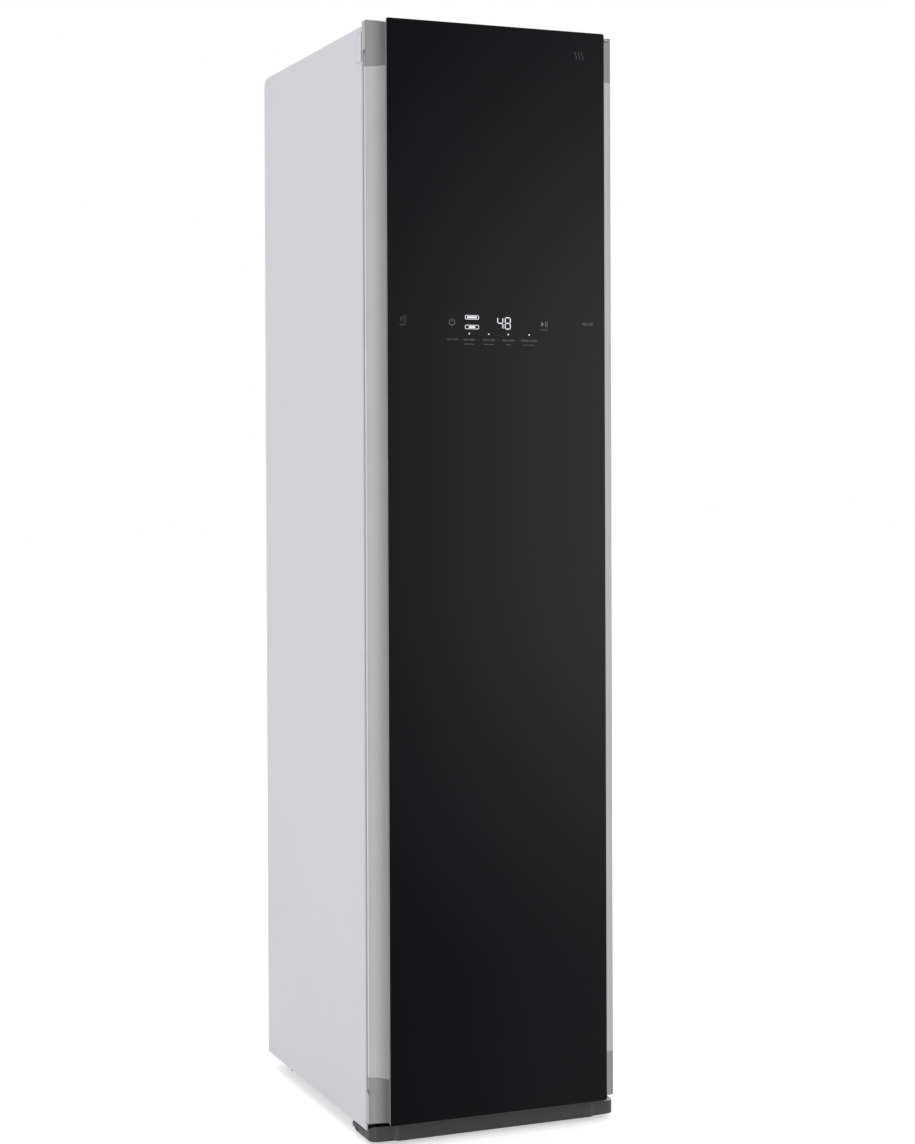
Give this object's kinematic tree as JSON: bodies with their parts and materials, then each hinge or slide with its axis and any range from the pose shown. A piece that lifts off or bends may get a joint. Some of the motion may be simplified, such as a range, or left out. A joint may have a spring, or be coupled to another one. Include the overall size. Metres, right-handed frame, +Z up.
{
  "type": "steam clothes-care cabinet with door trouser press",
  "caption": "Tall narrow steam clothes-care cabinet with a dark glass door, coved silver door edges, rocking hanger bar, water tanks and a trouser press inside the door.",
  "frame": {"origin": "on the floor under the middle of the overall width and depth", "axes": "+Z up, -Y out through the glass door, +X to the right seen from the front"},
  "size_m": [0.445, 0.585, 1.85],
  "materials": {
    "cabinet_paint": "fine satin powder coat over steel sheet",
    "cabinet_plastic": "satin moulding matched to the cabinet",
    "zinc_sheet": "zinc coated sheet with a faint spangle",
    "screw_steel": "bright zinc plated",
    "black_plastic": "fine textured black moulding",
    "foot_plastic": "textured hard plastic",
    "kick_plastic": "satin dark grey moulding",
    "foam": "rigid insulating foam, cut skin",
    "liner_plastic": "smooth satin white liner",
    "floor_plastic": "satin grey moulding",
    "filter_plastic": "satin dark grey moulding",
    "lamp_lens": "frosted lens",
    "bright_steel": "fine brushed stainless",
    "drive_plastic": "natural acetal",
    "belt_rubber": "ribbed black rubber",
    "motor_paint": "semi-gloss black enamel",
    "hanger_plastic": "satin charcoal moulding",
    "bay_plastic": "satin grey moulding",
    "tank_plastic": "smoky translucent moulding",
    "cap_plastic": "satin grey moulding",
    "fin_aluminium": "bare rolled fins",
    "pipe_copper": "drawn copper",
    "cord_rubber": "smooth flexible sheath",
    "black_glass": "dark tinted polished glass, printed behind",
    "silver_profile": "fine satin silver",
    "cap_grey": "metallic grey moulding",
    "door_core": "smooth satin white panel",
    "board": "solder mask over laminate",
    "gasket_rubber": "soft matte magnetic seal",
    "press_plastic": "satin grey moulding",
    "latch_plastic": "smooth dark moulding"
  },
  "bodies": {
    "cabinet": {"left_side_panel": "cabinet_paint", "right_side_panel": "cabinet_paint", "hinge_access_caps": "cabinet_plastic", "top_cover": "cabinet_paint", "back_panel": "zinc_sheet", "panel_screws": "screw_steel", "base_frame": "black_plastic", "kick_plate": "kick_plastic", "insulation_shell": "foam", "chamber_liner": "liner_plastic", "chamber_floor": "floor_plastic", "steam_nozzle": "floor_plastic", "rear_duct_cover": "liner_plastic", "led_lamp": "lamp_lens", "slide_rails": "bright_steel", "drive_belt": "belt_rubber", "drive_bracket": "zinc_sheet", "hanger_motor": "motor_paint", "control_box": "black_plastic", "tank_bay": "bay_plastic", "steam_generator": "bright_steel", "compressor": "motor_paint", "evaporator": "fin_aluminium", "condenser": "fin_aluminium", "refrigerant_pipes": "pipe_copper", "blower_housing": "black_plastic", "fan_motor": "motor_paint", "water_pumps": "black_plastic", "power_cord": "cord_rubber", "hinge_brackets": "bright_steel"},
    "front_left_foot": {"front_left_foot": "foot_plastic"},
    "front_right_foot": {"front_right_foot": "foot_plastic"},
    "rear_left_foot": {"rear_left_foot": "foot_plastic"},
    "rear_right_foot": {"rear_right_foot": "foot_plastic"},
    "door": {"door_glass": "black_glass", "left_door_profile": "silver_profile", "right_door_profile": "silver_profile", "door_top_cap": "cap_grey", "door_bottom_cap": "cap_grey", "door_inner_panel": "door_core", "display_board": "board", "door_gasket": "gasket_rubber", "press_back_plate": "press_plastic", "press_hinge_pins": "screw_steel"},
    "press_cover": {"press_cover": "press_plastic"},
    "press_latch": {"press_latch": "latch_plastic"},
    "trouser_hanger": {"trouser_hanger": "bright_steel"},
    "water_tank": {"water_tank": "tank_plastic", "water_tank_cap": "cap_plastic"},
    "drain_tank": {"drain_tank": "tank_plastic", "drain_tank_cap": "cap_plastic"},
    "lint_filter": {"lint_filter": "filter_plastic"},
    "aroma_kit": {"aroma_kit": "filter_plastic"},
    "moving_hanger": {"hanger_carriage": "drive_plastic", "hanger_bar": "bright_steel"},
    "crank_pulley": {"crank_pulley": "drive_plastic"},
    "motor_pulley": {"motor_pulley": "drive_plastic"},
    "left_garment_hanger": {"left_garment_hanger": "hanger_plastic"},
    "right_garment_hanger": {"right_garment_hanger": "hanger_plastic"},
    "blower_wheel": {"blower_wheel": "drive_plastic"}
  },
  "joints": [
    {"name": "front_left_foot_screw", "type": "slide", "parent": "cabinet", "child": "front_left_foot", "axis": [0, 0, -1], "range_m": [0, 0.015]},
    {"name": "front_right_foot_screw", "type": "slide", "parent": "cabinet", "child": "front_right_foot", "axis": [0, 0, -1], "range_m": [0, 0.015]},
    {"name": "rear_left_foot_screw", "type": "slide", "parent": "cabinet", "child": "rear_left_foot", "axis": [0, 0, -1], "range_m": [0, 0.015]},
    {"name": "rear_right_foot_screw", "type": "slide", "parent": "cabinet", "child": "rear_right_foot", "axis": [0, 0, -1], "range_m": [0, 0.015]},
    {"name": "door_swing", "type": "hinge", "parent": "cabinet", "child": "door", "pos_m": [0.203, -0.27, 0.9], "axis": [0, 0, 1], "range_deg": [0, 125]},
    {"name": "press_cover_swing", "type": "hinge", "parent": "door", "child": "press_cover", "pos_m": [-0.156, -0.247, 0.9], "axis": [0, 0, 1], "range_deg": [0, 90]},
    {"name": "press_latch_turn", "type": "hinge", "parent": "press_cover", "child": "press_latch", "pos_m": [0.154, -0.241, 0.9], "axis": [0, 0, 1], "range_deg": [0, 40]},
    {"name": "trouser_hanger_lift", "type": "slide", "parent": "door", "child": "trouser_hanger", "axis": [0, 0, 1], "range_m": [0, 0.06]},
    {"name": "water_tank_pull", "type": "slide", "parent": "cabinet", "child": "water_tank", "axis": [0, -1, 0], "range_m": [0, 0.11]},
    {"name": "drain_tank_pull", "type": "slide", "parent": "cabinet", "child": "drain_tank", "axis": [0, -1, 0], "range_m": [0, 0.11]},
    {"name": "lint_filter_lift", "type": "slide", "parent": "cabinet", "child": "lint_filter", "axis": [0, 0, 1], "range_m": [0, 0.15]},
    {"name": "aroma_kit_lift", "type": "slide", "parent": "cabinet", "child": "aroma_kit", "axis": [0, 0, 1], "range_m": [0, 0.12]},
    {"name": "hanger_bar_rock", "type": "slide", "parent": "cabinet", "child": "moving_hanger", "axis": [1, 0, 0], "range_m": [-0.015, 0.015]},
    {"name": "crank_turn", "type": "hinge", "parent": "cabinet", "child": "crank_pulley", "pos_m": [0, 0.01, 1.762], "axis": [0, 0, 1], "range_deg": [-49, 49]},
    {"name": "motor_pulley_turn", "type": "hinge", "parent": "cabinet", "child": "motor_pulley", "pos_m": [0.09, 0.01, 1.762], "axis": [0, 0, 1], "range_deg": [-147, 147]},
    {"name": "left_garment_hanger_swing", "type": "hinge", "parent": "moving_hanger", "child": "left_garment_hanger", "pos_m": [-0.06, 0.01, 1.64], "axis": [1, 0, 0], "range_deg": [-6, 6]},
    {"name": "right_garment_hanger_swing", "type": "hinge", "parent": "moving_hanger", "child": "right_garment_hanger", "pos_m": [0.06, 0.01, 1.64], "axis": [1, 0, 0], "range_deg": [-6, 6]},
    {"name": "blower_spin", "type": "hinge", "parent": "cabinet", "child": "blower_wheel", "pos_m": [0.105, 0.12, 0.19], "axis": [0, 1, 0], "continuous": true}
  ],
  "couplings": [
    {"joint": "water_tank_pull", "follows": "door_swing", "m_per_rad": 0.05},
    {"joint": "drain_tank_pull", "follows": "door_swing", "m_per_rad": 0.05},
    {"joint": "crank_turn", "follows": "hanger_bar_rock", "rad_per_m": -56.5},
    {"joint": "motor_pulley_turn", "follows": "hanger_bar_rock", "rad_per_m": -169.5}
  ]
}
